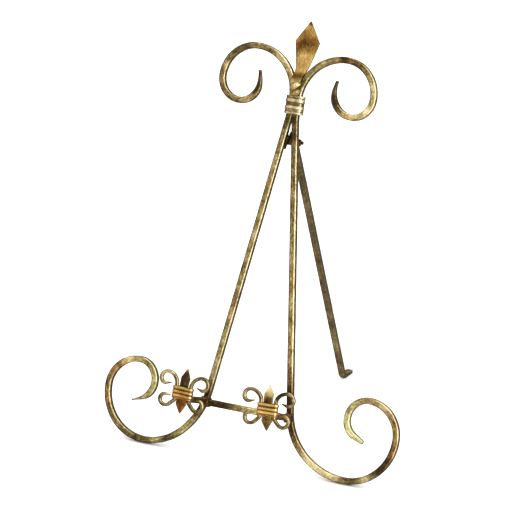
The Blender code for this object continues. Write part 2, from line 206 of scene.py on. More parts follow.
def rounded_section(width, depth, corner, arc_steps=5, flat_steps=4):
    """Outline of a bar's section, counterclockwise, as points and outward normals."""
    points = []
    normals = []
    half_w = width / 2 - corner
    half_d = depth / 2 - corner
    centres = ((half_w, half_d), (-half_w, half_d), (-half_w, -half_d), (half_w, -half_d))
    for quarter, centre in enumerate(centres):
        for step in range(arc_steps + 1):
            direction = along(90.0 * quarter + 90.0 * step / arc_steps)
            points.append(np.array(centre) + corner * direction)
            normals.append(direction)
        last = points[-1]
        following = np.array(centres[(quarter + 1) % 4]) + corner * along(90.0 * (quarter + 1))
        for step in range(1, flat_steps):
            points.append(last + (following - last) * step / flat_steps)
            normals.append(along(90.0 * (quarter + 1)))
    return np.array(points), np.array(normals)


def skin(name, rings, grain=None, closed=False):
    """A closed mesh over rings of points (count, points, 3), in millimetres.

    grain holds a direction for streaks in the paint: its x runs along the piece.
    """
    count, size = rings.shape[:2]
    verts = rings.reshape(-1, 3)
    lines = verts if grain is None else grain.reshape(-1, 3)
    faces = []
    for ring in range(count if closed else count - 1):
        start = ring * size
        after = (ring + 1) % count * size
        for point in range(size):
            beside = (point + 1) % size
            faces.append((start + point, start + beside, after + beside, after + point))
    if not closed:
        for ring in (0, count - 1):
            centre = len(verts)
            ends = slice(ring * size, (ring + 1) * size)
            lines = np.vstack((lines, lines[ends].mean(axis=0)))
            verts = np.vstack((verts, rings[ring].mean(axis=0)))
            for point in range(size):
                faces.append((ring * size + point, ring * size + (point + 1) % size, centre))
    mesh = bpy.data.meshes.new(name)
    mesh.from_pydata((verts * MM).tolist(), [], faces)
    mesh.shade_smooth()
    streaks = mesh.attributes.new("grain", "FLOAT_VECTOR", "POINT")
    streaks.data.foreach_set("vector", lines.astype(np.float32).ravel())
    item = add_to_scene(name, mesh)
    outward(item)
    return item


def outward(item):
    """Turn every face of a closed mesh to face out."""
    form = bmesh.new()
    form.from_mesh(item.data)
    bmesh.ops.recalc_face_normals(form, faces=form.faces)
    form.to_mesh(item.data)
    form.free()


def sides_of(path, closed):
    """Unit vector to the right of each point of a path."""
    tangents = np.roll(path, -1, axis=0) - np.roll(path, 1, axis=0)
    if not closed:
        tangents[0] = path[1] - path[0]
        tangents[-1] = path[-1] - path[-2]
    tangents /= np.linalg.norm(tangents, axis=1)[:, None]
    return np.column_stack((tangents[:, 1], -tangents[:, 0]))


STREAK_LENGTH = 6.0
BROAD_HAMMERING = 9.0
FINE_HAMMERING = 3.2
FINE_SHARE = 0.45
END_SCALE = 0.80
NEXT_TO_END_SCALE = 0.97


def sweep(name, path, matrix, width, depth, corner, taper=None, forged=0.10, seed=0.0, spacing=1.1,
          end_round=0.6, steps=(5, 4)):
    """Sweep a rounded section along a flat path.

    width lies in the drawing plane and depth across it. taper(run, total) gives the two scales along the
    path, and forged is the height of the hammered unevenness.
    """
    path = even(path, spacing)
    first = path[0] + (path[1] - path[0]) * min(0.5, end_round / spacing)
    last = path[-1] + (path[-2] - path[-1]) * min(0.5, end_round / spacing)
    path = np.vstack((path[:1], first, path[1:-1], last, path[-1:]))
    sides = sides_of(path, closed=False)
    run = np.concatenate(((0.0,), np.cumsum(np.linalg.norm(np.diff(path, axis=0), axis=1))))
    section, normals = rounded_section(width, depth, corner, *steps)
    scales = np.ones((len(path), 2))
    if taper:
        scales = np.array([taper(place, run[-1]) for place in run])
    scales[[0, -1]] *= END_SCALE
    scales[[1, -2]] *= NEXT_TO_END_SCALE
    rotation = np.array(matrix.to_3x3())
    origin = np.array(matrix.translation)
    rings = np.empty((len(path), len(section), 3))
    outwards = np.empty_like(rings)
    grain = np.empty_like(rings)
    for index, (point, side) in enumerate(zip(path, sides)):
        grain[index, :, 0] = run[index] / STREAK_LENGTH
        grain[index, :, 1:] = section + seed
        local = np.zeros((len(section), 3))
        local[:, :2] = point + np.outer(section[:, 0] * scales[index, 0], side)
        local[:, 2] = section[:, 1] * scales[index, 1]
        rings[index] = local @ rotation.T + origin
        facing = np.zeros((len(section), 3))
        facing[:, :2] = np.outer(normals[:, 0], side)
        facing[:, 2] = normals[:, 1]
        outwards[index] = facing @ rotation.T
    flat = rings.reshape(-1, 3)
    height = ripple(flat, BROAD_HAMMERING, seed) + FINE_SHARE * ripple(flat, FINE_HAMMERING, seed + 31.0)
    rings += outwards * (forged * height).reshape(len(path), -1)[:, :, None]
    return skin(name, rings, grain)


# ---------------- paint

FORWARD = FRAME.to_3x3() @ Vector((0.0, 0.0, 1.0))
# Edges turned to the front right get edge wear and a painted highlight.
HIGHLIGHT_AND_WEAR_SIDE = FRAME.to_3x3() @ Vector((0.72, 0.28, 0.63))
# Edges turned to the front left get painted shade.
SHADED = FRAME.to_3x3() @ Vector((-0.75, -0.15, 0.55))
# Faces turned to the right and down get painted shade.
SIDEWAYS = FRAME.to_3x3() @ Vector((0.85, -0.5, -0.1))
SIDEWAYS_SHADE = 0.22
HIGHLIGHT_AND_WEAR_RANGE = (0.55, 1.0)
SHADED_RANGE = (0.35, 0.95)
SIDEWAYS_RANGE = (0.45, 1.0)
SHARP_EDGE = 0.35  # curvature in 1/mm at which an edge gets all of its edge wear and painted highlight, or all of its painted shade


def convexity(mesh, points, normals):
    """Mean curvature at each point in 1/mm, positive where the surface bulges."""
    pairs = np.empty(len(mesh.edges) * 2, np.int32)
    mesh.edges.foreach_get("vertices", pairs)
    pairs = pairs.reshape(-1, 2)
    total = np.zeros(len(points))
    count = np.zeros(len(points))
    for near, far in (pairs.T, pairs.T[::-1]):
        step = points[far] - points[near]
        bend = -2.0 * (step * normals[near]).sum(axis=1) / np.maximum((step * step).sum(axis=1), 1e-6)
        np.add.at(total, near, bend)
        np.add.at(count, near, 1.0)
    return total / np.maximum(count, 1.0)


def paint(item, gold=0.22, facing=0.21, wear_and_highlight=0.62, shade=0.38, dabs=(), warmth=0.5, warm_dabs=(),
          tone=None):
    """Store how much gold shows (0 to 1) and how warm it is at each vertex.

    The gold lies thicker on the faces turned to the front, which also paints shade on the faces turned
    away.
    The edges turned to the front right are rubbed bright, as edge wear and as a painted highlight; the
    edges turned to the front left and the faces turned to the right and down get painted shade. A dab
    (centre, radius, amount) adds to the gold round a point, a warm dab adds to the warmth, and
    tone(points) adds to the gold all over.
    """
    mesh = item.data
    points = np.empty(len(mesh.vertices) * 3)
    mesh.vertices.foreach_get("co", points)
    points = points.reshape(-1, 3) / MM
    normals = np.empty(len(mesh.vertices) * 3)
    mesh.vertices.foreach_get("normal", normals)
    normals = normals.reshape(-1, 3)
    bulge = np.clip(convexity(mesh, points, normals) / SHARP_EDGE, 0.0, 1.0)
    # More gold on the faces turned to the front: partly the finish, partly painted shade on the faces
    # turned away.
    gold_and_painted_light = gold + facing * (normals @ np.array(FORWARD))
    # Edge wear and a painted highlight on the edges turned to the front right.
    gold_and_painted_light += wear_and_highlight * bulge * smooth(*HIGHLIGHT_AND_WEAR_RANGE, normals @ np.array(HIGHLIGHT_AND_WEAR_SIDE))
    # Painted shade on the edges turned to the front left.
    gold_and_painted_light -= shade * smooth(*SHADED_RANGE, normals @ np.array(SHADED)) * bulge
    # Painted shade on the faces turned to the right and down.
    gold_and_painted_light -= SIDEWAYS_SHADE * smooth(*SIDEWAYS_RANGE, normals @ np.array(SIDEWAYS))
    if tone:
        gold_and_painted_light += tone(points)
    heat = np.full(len(points), warmth)
    for values, spots in ((gold_and_painted_light, dabs), (heat, warm_dabs)):
        for centre, radius, amount in spots:
            distance = np.linalg.norm(points - np.array(centre), axis=1)
            values += amount * (1.0 - smooth(0.3 * radius, radius, distance))
    for label, values in (("gold", gold_and_painted_light), ("warmth", heat)):
        attribute = mesh.attributes.new(label, "FLOAT", "POINT")
        attribute.data.foreach_set("value", np.clip(values, 0.0, 1.0).astype(np.float32))


def depth(points):
    """How far in front of the leaning frame each point is."""
    return (points - np.array(FRAME.translation)) @ np.array(FORWARD)


def spot(across, up, forward=0.0):
    """A point given in the leaning frame's axes."""
    return tuple(FRAME @ Vector((across, up, forward)))


def spots(table):
    """Dabs from (across, up, radius, amount) on the frame's own plane."""
    return [(spot(across, up), radius, amount) for across, up, radius, amount in table]


# ---------------- materials

class Nodes:
    """Short calls for building a material's node tree."""

    def __init__(self, material):
        self.tree = material.node_tree

    def add(self, kind, inputs=(), **settings):
        """Add a node. inputs maps its sockets to values, or to the sockets that feed them."""
        node = self.tree.nodes.new(kind)
        for name, value in settings.items():
            setattr(node, name, value)
        for name, value in dict(inputs).items():
            if isinstance(value, bpy.types.NodeSocket):
                self.tree.links.new(value, node.inputs[name])
            else:
                node.inputs[name].default_value = value
        return node

    def math(self, operation, first, second, clamp=False):
        """One step of arithmetic."""
        node = self.add("ShaderNodeMath", {0: first, 1: second}, operation=operation, use_clamp=clamp)
        return node.outputs[0]

    def texture(self, coordinate, scale, detail, roughness, offset):
        """Noise spread evenly about 0, from about -0.5 to 0.5."""
        moved = self.add("ShaderNodeVectorMath", {0: coordinate, 1: (offset, offset * 0.7, -offset)},
                         operation="ADD").outputs[0]
        node = self.add("ShaderNodeTexNoise", {"Vector": moved, "Scale": scale, "Detail": detail,
                                               "Roughness": roughness})
        return self.math("SUBTRACT", node.outputs["Fac"], 0.5)

    def ramp(self, factor, stops):
        """Colour from a factor and a table of (position, colour)."""
        node = self.add("ShaderNodeValToRGB", {"Fac": factor})
        elements = node.color_ramp.elements
        while len(elements) < len(stops):
            elements.new(0.5)
        for element, (position, colour) in zip(elements, stops):
            element.position = position
            element.color = (*colour, 1.0)
        return node.outputs["Color"]

    def stretch(self, value, low, high, to_low, to_high):
        """Map low to high onto to_low to to_high."""
        node = self.add("ShaderNodeMapRange", {"Value": value, "From Min": low, "From Max": high,
                                               "To Min": to_low, "To Max": to_high})
        return node.outputs["Result"]

    def total(self, *terms):
        """Sum of (value, weight) terms."""
        whole = None
        for value, weight in terms:
            part = self.math("MULTIPLY", value, weight)
            whole = part if whole is None else self.math("ADD", whole, part)
        return whole


# Repeats per metre of the noises, except the streaks, which count along the grain
PATCH_SCALE = 75.0
MOTTLE_SCALE = 420.0
GRAIN_SCALE = 2100.0
STREAK_SCALE = 1.15
DRIFT_SCALE = 45.0
RELIEF_HEIGHT = 0.22 * MM
METALLIC = (0.6, 0.95)  # on bare ground and on thick gold
ROUGHNESS = (0.52, 0.34)
NEUTRAL = (1.0, 1.0, 1.0)


def antique(name, stops, cool, warm, patch=0.8, streak=1.1, mottle=1.0, offset=0.0):
    """Gold paint rubbed over a dark ground. stops colour it from bare ground (0) to thick gold (1).

    cool and warm tint its coolest and warmest places, and patch, streak and mottle are the strengths of
    the unevenness. offset moves the noises, so that two metals differ.
    """
    material = bpy.data.materials.new(name)
    material.use_nodes = True
    nodes = Nodes(material)
    shader = nodes.tree.nodes["Principled BSDF"]
    place = nodes.add("ShaderNodeTexCoord").outputs["Object"]
    along_piece = nodes.add("ShaderNodeAttribute", attribute_name="grain").outputs["Vector"]
    # The gold attribute carries the gold's amount together with its painted highlights and painted shade.
    gold = nodes.add("ShaderNodeAttribute", attribute_name="gold").outputs["Fac"]
    warmth = nodes.add("ShaderNodeAttribute", attribute_name="warmth").outputs["Fac"]
    patches = nodes.texture(place, PATCH_SCALE, 2.0, 0.5, offset)
    mottles = nodes.texture(place, MOTTLE_SCALE, 5.0, 0.65, offset + 3.0)
    grain = nodes.texture(place, GRAIN_SCALE, 3.0, 0.6, offset + 7.0)
    streaks = nodes.texture(along_piece, STREAK_SCALE, 4.0, 0.6, offset + 5.0)
    drift = nodes.texture(place, DRIFT_SCALE, 2.0, 0.5, offset + 11.0)
    uneven = nodes.total((patches, patch), (streaks, streak), (mottles, mottle), (grain, 0.35))
    amount = nodes.math("ADD", gold, uneven, clamp=True)
    colour = nodes.ramp(amount, stops)
    heat = nodes.math("ADD", warmth, nodes.total((drift, 1.0), (mottles, 0.5)), clamp=True)
    cast = nodes.ramp(heat, ((0.12, cool), (0.5, NEUTRAL), (0.9, warm)))
    toned = nodes.add("ShaderNodeMix", {"Factor": 1.0, "A": colour, "B": cast}, data_type="RGBA",
                      blend_type="MULTIPLY")
    nodes.tree.links.new(toned.outputs["Result"], shader.inputs["Base Color"])
    nodes.tree.links.new(nodes.stretch(amount, 0.05, 0.45, *METALLIC), shader.inputs["Metallic"])
    rough = nodes.math("ADD", nodes.stretch(amount, 0.1, 0.9, *ROUGHNESS), nodes.total((mottles, 0.4)))
    nodes.tree.links.new(rough, shader.inputs["Roughness"])
    relief = nodes.total((streaks, 0.8), (mottles, 1.0), (grain, 0.5))
    bump = nodes.add("ShaderNodeBump", {"Strength": 0.6, "Distance": RELIEF_HEIGHT, "Height": relief})
    nodes.tree.links.new(bump.outputs["Normal"], shader.inputs["Normal"])
    shader.inputs["Specular IOR Level"].default_value = 0.3
    shader.inputs["Specular Tint"].default_value = (0.8, 0.62, 0.36, 1.0)
    shader.inputs["Coat Weight"].default_value = 0.03
    shader.inputs["Coat Roughness"].default_value = 0.28
    return material


# Colours from bare ground to thick gold
OLIVE = ((0.0, (0.013, 0.007, 0.002)), (0.2, (0.055, 0.036, 0.010)), (0.42, (0.165, 0.117, 0.042)),
         (0.6, (0.295, 0.228, 0.102)), (0.8, (0.50, 0.405, 0.21)), (1.0, (0.72, 0.60, 0.36)))
AMBER = ((0.0, (0.022, 0.009, 0.002)), (0.22, (0.11, 0.053, 0.008)), (0.42, (0.25, 0.145, 0.032)),
         (0.6, (0.38, 0.245, 0.078)), (0.8, (0.60, 0.425, 0.175)), (1.0, (0.86, 0.64, 0.31)))
PALE = ((0.0, (0.024, 0.015, 0.007)), (0.22, (0.095, 0.064, 0.029)), (0.42, (0.215, 0.163, 0.085)),
        (0.6, (0.40, 0.31, 0.17)), (0.8, (0.64, 0.52, 0.32)), (1.0, (0.88, 0.77, 0.52)))

# Tints of the coolest and warmest places
COOL = (0.84, 0.98, 0.82)
COOL_YELLOW = (0.88, 1.0, 0.9)
COOL_GREY = (0.88, 1.0, 1.35)
WARM = (1.16, 0.92, 0.82)
RUSTY = (1.25, 0.84, 0.74)
ORANGE = (1.2, 0.82, 0.68)

MATERIALS = {
    "antique_gold": antique("antique_gold", OLIVE, COOL, WARM),
    "dark_gold": antique("dark_gold", OLIVE, COOL, WARM, patch=0.5, offset=21.0),
    "blackened_gold": antique("blackened_gold", OLIVE, COOL, RUSTY, patch=0.5, offset=33.0),
    "amber_gold": antique("amber_gold", AMBER, COOL_GREY, ORANGE, 0.7, 0.7, 0.6, offset=47.0),
    "pale_gold": antique("pale_gold", PALE, COOL, WARM, 0.5, 0.6, 0.8, offset=67.0),
    "warm_gold": antique("warm_gold", AMBER, COOL_YELLOW, WARM, 0.5, 0.6, 0.6, offset=59.0),
}


def finish(item, slot, body, *nodes, metal=None):
    """Give a piece its metal and its body, and hide the CAD nodes that it stands for.

    Its metal is the slot's own unless another is named.
    """
    item.data.materials.append(MATERIALS[metal or slot])
    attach(item, body)
    if nodes:
        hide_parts(*nodes)


# ---------------- legs

def leg_path(side, sign):
    """Centreline of a leg, drawn as on the right, from its top scroll's tip to its foot scroll's tip."""
    lean = sign * TOP_LEAN[side]
    leg_lead, floor_lead = FOOT_LEAD[side]
    upper = [np.array((COLLARED_HALF_SPACING, SCROLL_START))]
    heading = arc(upper, 90.0, TOP_LEAN_RADIUS, -lean)
    arcs(upper, heading, TOP_ARCS[side], -1.0)
    sine = math.sin(math.radians(SPLAY))
    turned = math.sin(math.radians(SPLAY + FOOT_LEAD_TURN))
    drop = leg_lead * (turned - sine) + floor_lead * (1.0 - turned)
    run = SCROLL_START - COLLARED_RUN - LEG_BEND_RADIUS[side] * sine - drop - FOOT_CENTRE
    lower = [upper[0]]
    heading = straight(lower, -90.0, COLLARED_RUN)
    heading = arc(lower, heading, LEG_BEND_RADIUS[side], SPLAY)
    heading = straight(lower, heading, run / math.cos(math.radians(SPLAY)))
    heading = arc(lower, heading, leg_lead, FOOT_LEAD_TURN)
    heading = arc(lower, heading, floor_lead, 90.0 - SPLAY - FOOT_LEAD_TURN)
    heading = arcs(lower, heading, FOOT_ARCS[side], 1.0)
    straight(lower, heading, FOOT_TIP[side])
    return np.array(upper[:0:-1] + lower)


LEG_PATHS = {side: leg_path(side, sign) for side, sign in SIDES}


def across_at(side, height):
    """How far from the middle a leg is at a height on its straight part."""
    path = LEG_PATHS[side]
    start = int(np.argmin(np.abs(path[:, 1] - SCROLL_START) + np.abs(path[:, 0] - COLLARED_HALF_SPACING)))
    run = path[start:start + POINTS_DOWN_LEG]
    run = run[run[:, 1] > LOWEST_STRAIGHT]
    return float(np.interp(height, run[::-1, 1], run[::-1, 0]))


def leg_taper(foot_run, foot_tip):
    """The top scroll is drawn out to a blunt point, and the foot scroll over foot_run to foot_tip."""
    def scales(run, total):
        top = TOP_TIP + (1.0 - TOP_TIP) * smooth(0.0, TOP_TIP_RUN, run) ** 0.85
        foot = foot_tip + (1.0 - foot_tip) * smooth(0.0, foot_run, total - run)
        return top * foot, (0.25 + 0.75 * top) * (0.35 + 0.65 * foot)
    return scales


# Dabs on the legs: (across, up, radius, amount)
LEG_DABS = {
    "left": spots((
        (-49.0, 57.0, 26.0, -0.48), (-40.0, 90.0, 40.0, 0.06), (-6.0, 338.0, 24.0, -0.24),
        (-40.0, 383.0, 28.0, -0.46), (-83.0, 376.0, 30.0, -0.12), (-51.0, 411.0, 34.0, -0.10),
        (-62.0, 355.0, 24.0, -0.06), (-16.0, 397.0, 18.0, 0.08), (-154.0, 45.0, 38.0, -0.10),
        (-139.0, 79.0, 12.0, 0.24), (-108.0, 64.0, 22.0, 0.10), (-123.0, 42.0, 14.0, 0.10),
        (-125.0, 8.0, 36.0, -0.14), (-90.0, 5.0, 34.0, -0.12), (-66.0, 26.0, 14.0, 0.04))),
    "right": spots((
        (46.0, 68.0, 44.0, -0.50), (60.0, 34.0, 22.0, -0.16), (42.0, 112.0, 40.0, 0.06),
        (8.0, 336.0, 26.0, -0.30), (10.0, 290.0, 60.0, -0.08), (84.0, 12.0, 34.0, 0.34),
        (121.0, 4.0, 16.0, -0.10), (136.0, 12.0, 12.0, 0.2), (150.0, 26.0, 26.0, -0.40),
        (161.0, 58.0, 26.0, -0.05), (128.0, 84.0, 42.0, 0.14), (108.0, 58.0, 26.0, 0.20),
        (126.0, 46.0, 16.0, 0.14), (47.0, 409.0, 9.0, -0.30), (60.0, 404.0, 12.0, -0.26),
        (30.0, 398.0, 26.0, -0.05), (86.0, 372.0, 32.0, 0.16), (66.0, 352.0, 28.0, 0.12),
        (45.0, 379.0, 28.0, -0.5), (48.0, 364.0, 18.0, -0.24))),
}
LEG_WARMTH = {
    "left": spots(((-49.0, 57.0, 26.0, 0.5), (-156.0, 50.0, 40.0, 0.26), (-90.0, 3.0, 60.0, -0.22),
                   (-110.0, 60.0, 26.0, -0.2))),
    "right": spots(((48.0, 70.0, 40.0, 0.4), (47.0, 409.0, 12.0, 0.5), (161.0, 50.0, 34.0, 0.3),
                    (110.0, 58.0, 36.0, -0.25), (126.0, 46.0, 14.0, -0.4))),
}


def make_legs():
    """The two legs, each one bar from its top scroll's tip to its foot scroll's tip."""
    for side, sign in SIDES:
        path = LEG_PATHS[side] * (sign, 1.0)
        taper = leg_taper(*FOOT_TIP_TAPER[side])
        leg = sweep(side + "_leg_forged", path, FRAME, BAR, BAR, BAR_CORNER, taper, forged=0.13,
                    seed=3.0 * sign)
        paint(leg, shade=0.5, dabs=LEG_DABS[side], warm_dabs=LEG_WARMTH[side])
        finish(leg, "antique_gold", "frame", side + "_leg")


# ---------------- crossbar and arms

CROSSBAR_DABS = ((-44.0, 36.0, -0.40), (-18.0, 24.0, -0.10), (10.0, 30.0, 0.16), (44.0, 22.0, -0.22))


def make_crossbar():
    """The bar between the legs, dark at its ends."""
    ends = [(sign * (across_at(side, CROSSBAR_HEIGHT) - BAR / 2 + CROSSBAR_SEAT), CROSSBAR_HEIGHT)
            for side, sign in SIDES]
    bar = sweep("crossbar_forged", ends, FRAME, BAR, BAR, BAR_CORNER, seed=11.0)
    dabs = [(spot(across, CROSSBAR_HEIGHT), radius, amount) for across, radius, amount in CROSSBAR_DABS]
    warm_dabs = [(spot(-40.0, CROSSBAR_HEIGHT), 30.0, 0.3)]
    paint(bar, gold=0.27, dabs=dabs, warm_dabs=warm_dabs)
    finish(bar, "dark_gold", "frame", "crossbar")


def make_arms():
    """The two bars that stand forward from the legs and carry the ornaments."""
    start = BAR / 2 - ARM_SEAT
    slope = math.radians(ARM_RISE)
    length = (ARM_REACH - BAND_DEPTH + ARM_SEAT - start) / math.cos(slope)
    rise = start * math.tan(slope)
    for side, sign in SIDES:
        matrix = (plane(sign * across_at(side, ARM_HEIGHT), ARM_HEIGHT + rise, start)
                  @ Matrix.Rotation(math.radians(90.0), 4, "Z")
                  @ Matrix.Rotation(math.radians(-90.0 + ARM_RISE), 4, "Y"))
        arm = sweep(side + "_arm_forged", [(0.0, 0.0), (length, 0.0)], matrix, BAR, BAR, BAR_CORNER,
                    seed=17.0 * sign)
        near_end = tuple(matrix @ Vector((0.8 * length, 0.0, 0.0)))
        paint(arm, gold=0.24, wear_and_highlight=0.25, warmth=0.6, dabs=[(near_end, 16.0, 0.08)])
        finish(arm, "blackened_gold", "frame", side + "_arm")


# ---------------- ornaments

def curl(start, heading, side, root, run, table):
    """Half of a wire scroll: root arcs, a straight run and the arcs of its curl."""
    path = [np.array(start)]
    heading = arcs(path, heading, root, side)
    if run:
        straight(path, heading, run)
    heading = arcs(path, heading, table, side)
    straight(path, heading, CURL_TIP)
    return path


def ornament_scroll_path(side):
    """Centreline of the wire scroll on the ornament's right, from its upper tip to its lower tip."""
    half = SCROLL_SPACING / 2
    upper = curl((half, SCROLL_STRAIGHT / 2), 90.0, -1.0, UPPER_ROOT[side], 0.0, UPPER_CURL)
    lower = curl((half, -SCROLL_STRAIGHT / 2), -90.0, 1.0, LOWER_ROOT, LOWER_RUN, LOWER_CURL)
    return np.array(upper[::-1] + lower)


def wire_taper(run, total):
    """A scroll's wire is drawn out to a point at both ends."""
    near = min(run, total - run)
    scale = WIRE_TIP + (1.0 - WIRE_TIP) * smooth(0.0, WIRE_TIP_RUN, near)
    return scale, 0.35 + 0.65 * scale


# Dabs on the ornaments, from the middle of their bands: (across, up, radius, amount)
DAB_FORWARD = 1.5
SCROLL_DABS = {
    "left": ((-18.0, 20.0, 12.0, 0.22), (-20.0, -14.0, 12.0, -0.08), (16.0, 18.0, 12.0, -0.06),
             (16.0, -16.0, 14.0, -0.16), (-13.0, 9.0, 6.0, -0.4), (13.0, 9.0, 6.0, -0.4),
             (9.0, 0.0, 9.0, -0.25)),
    "right": ((-18.0, 18.0, 12.0, -0.04), (-18.0, -16.0, 12.0, -0.04), (12.0, 17.0, 9.0, -0.34),
              (21.0, 14.0, 8.0, 0.20), (15.0, -15.0, 12.0, -0.10), (-13.0, 9.0, 6.0, -0.3),
              (13.0, 9.0, 6.0, -0.4)),
}
SPEAR_DABS = {
    "left": ((-3.0, 8.0, 14.0, -0.5), (1.0, 16.0, 12.0, -0.24), (0.0, -11.0, 9.0, -0.22),
             (0.0, -19.0, 6.0, -0.25)),
    "right": ((0.0, 7.0, 7.0, -0.34), (1.0, 20.0, 10.0, 0.36), (0.0, -12.0, 9.0, -0.28),
              (0.0, -19.0, 6.0, -0.2)),
}
SPEAR_WARMTH = {
    "left": ((0.0, 14.0, 16.0, -0.9), (-1.0, -12.0, 12.0, 0.4)),
    "right": ((0.0, 16.0, 14.0, -0.7), (0.0, -14.0, 12.0, -0.6)),
}


def on_ornament(matrix, table):
    """Dabs of an ornament's table, placed in the scene."""
    return [(tuple(matrix @ Vector((across, up, DAB_FORWARD))), radius, amount)
            for across, up, radius, amount in table]


def make_scrolls(side, sign, matrix):
    """The two wire scrolls of an ornament, back to back."""
    path = ornament_scroll_path(side)
    dabs = on_ornament(matrix, SCROLL_DABS[side])
    for place, facing in (("outer", sign), ("inner", -sign)):
        wire_path = path if facing > 0 else mirrored(path)
        scroll = sweep(f"{side}_{place}_scroll_forged", wire_path, matrix, WIRE, WIRE, WIRE_CORNER,
                       wire_taper, forged=0.10, seed=23.0 * sign + facing, spacing=0.6, end_round=0.3,
                       steps=(4, 3))
        paint(scroll, gold=0.17, facing=0.20, wear_and_highlight=0.55, shade=0.6, dabs=dabs)
        finish(scroll, "antique_gold", "frame", f"{side}_{place}_scroll")


LEAF_STEPS = 15
LEAF_STREAK = 9.0


def leaf(name, rows, corner=0.35):
    """A leaf with rounded edges over rows of (centre, side, normal, half width, half thickness, ridge)."""
    rings = []
    grain = []
    shares = np.linspace(-1.0, 1.0, LEAF_STEPS)
    for index, (centre, side, normal, half, thick, ridge) in enumerate(rows):
        inset = min(corner, 0.6 * half, thick)
        flat = half - inset
        outline = [(share * flat, thick + ridge * (1.0 - abs(share))) for share in shares]
        for angle in (60.0, 30.0, 0.0):
            turn = math.radians(angle)
            outline.append((flat + inset * math.cos(turn), thick - inset + inset * math.sin(turn)))
        outline += [(x, -z) for x, z in reversed(outline)]
        outline += [(-x, z) for x, z in reversed(outline) if x > flat]
        rings.append(np.array([centre + side * x + normal * z for x, z in outline]))
        grain.append([(index / LEAF_STREAK, x, z) for x, z in outline])
    return skin(name, np.array(rings), np.array(grain))


def make_spear(side, matrix):
    """The flat spear between an ornament's scrolls, with its ends bent back and ridged."""
    matrix = matrix @ Matrix.Rotation(math.radians(SPEAR_TURN[side]), 4, "Z")
    heights, halves = zip(*SPEAR_OUTLINE)
    rotation = matrix.to_3x3()
    across = np.array(rotation @ Vector((1.0, 0.0, 0.0)))
    rows = []
    for height in np.arange(heights[0], heights[-1] + 0.01, SPEAR_STEP):
        half = float(np.interp(height, heights, halves))
        bend = smooth(6.0, 24.0, abs(height))
        centre = np.array(matrix @ Vector((0.0, height, -SPEAR_SET_BACK * bend)))
        tilt = SPEAR_TILT * bend * (1.0 if height > 0 else -1.0)
        normal = np.array(rotation @ Vector((0.0, tilt, 1.0)).normalized())
        thick = SPEAR_HALF_THICKNESS * min(1.0, 0.35 + half / 3.0)
        ridge = SPEAR_RIDGE * smooth(5.5, 9.0, abs(height)) * min(1.0, half / 4.0)
        rows.append((centre, across, normal, half, thick, ridge))
    spear = leaf(side + "_spear_forged", rows)
    paint(spear, gold=0.30, facing=0.12, wear_and_highlight=0.25, dabs=on_ornament(matrix, SPEAR_DABS[side]),
          warm_dabs=on_ornament(matrix, SPEAR_WARMTH[side]))
    finish(spear, "amber_gold", "frame", side + "_spear")


REED_SPACING = 0.4
REED_LEVEL = 0.45
REED_ROUNDNESS = 0.6
REED_LUMP = 5.0
REED_UNEVENNESS = 0.16
LIP_HEIGHT = 0.5
LIP_DEPTH = 0.3


def reeded(name, matrix, half_x, half_y, corner, height, wall, reeds, lift, seed):
    """A reeded strip wrapped round a rectangle, and how far each vertex is up a reed (0 to 1).

    Each reed is (height from the middle, half width, share of lift).
    """
    path = [np.array((half_x, -half_y + corner))]
    heading = 90.0
    for length in (2 * half_y, 2 * half_x, 2 * half_y, 2 * half_x):
        heading = straight(path, heading, length - 2 * corner)
        heading = arc(path, heading, corner, 90.0)
    path = even(path, REED_SPACING)[:-1]
    sides = sides_of(path, closed=True)
    levels = np.linspace(-height / 2, height / 2, 2 * round(height / REED_LEVEL) + 1)
    bulge = np.zeros(len(levels))
    for middle, half, share in reeds:
        inside = np.clip(1.0 - ((levels - middle) / half) ** 2, 0.0, 1.0)
        bulge = np.maximum(bulge, share * lift * inside ** REED_ROUNDNESS)
    lip = LIP_DEPTH * (1.0 - smooth(0.0, LIP_HEIGHT, height / 2 - np.abs(levels)))
    outer = np.column_stack((wall + bulge - lip, levels))
    inner = np.array(((0.0, height / 2), (0.0, 0.0), (0.0, -height / 2)))
    profile = np.vstack((outer, inner))
    rings = np.empty((len(path), len(profile), 3))
    grain = np.empty_like(rings)
    raised = np.concatenate((bulge / lift, np.zeros(3)))
    for index, (point, side) in enumerate(zip(path, sides)):
        for step, (out, level) in enumerate(profile):
            x, y = point + side * out
            rings[index, step] = matrix @ Vector((x, level, y))
            grain[index, step] = ((abs(x) + abs(y)) / STREAK_LENGTH, level, seed)
    flat = rings.reshape(-1, 3)
    centre = np.array(matrix.translation)
    shift = (flat - centre) / np.linalg.norm(flat - centre, axis=1)[:, None]
    flat += shift * (REED_UNEVENNESS * ripple(flat, REED_LUMP, seed))[:, None]
    strip = skin(name, flat.reshape(rings.shape), grain, closed=True)
    return strip, np.tile(raised, len(path))


def make_band(side, sign, matrix):
    """The reeded band round an ornament's scrolls and spear, dark in its grooves and at its back."""
    half_x = SCROLL_SPACING / 2 + WIRE / 2 + 0.1
    half_y = WIRE / 2 + 0.1
    band, reed = reeded(side + "_band_reeded", matrix, half_x, half_y, 0.7, BAND_HEIGHT, 0.8, BAND_REEDS,
                        0.5, 41.0 * sign)

    def tone(points):
        at_back = smooth(0.0, -2.5, depth(points) - ARM_REACH)
        return BAND_REED_GOLD[side] * reed - 0.18 * at_back
    paint(band, gold=0.03, facing=0.08, wear_and_highlight=0.5, shade=0.4, warmth=0.6, tone=tone)
    finish(band, "warm_gold", "frame", side + "_band")


def make_ornaments():
    """The two ornaments on the ends of the arms."""
    for side, sign in SIDES:
        matrix = (plane(ORNAMENT_ACROSS[side], ORNAMENT_HEIGHT[side], ARM_REACH)
                  @ Matrix.Rotation(math.radians(ORNAMENT_TURN[side]), 4, "Z"))
        make_scrolls(side, sign, matrix)
        make_spear(side, matrix)
        make_band(side, sign, matrix)


# ---------------- collar and finial

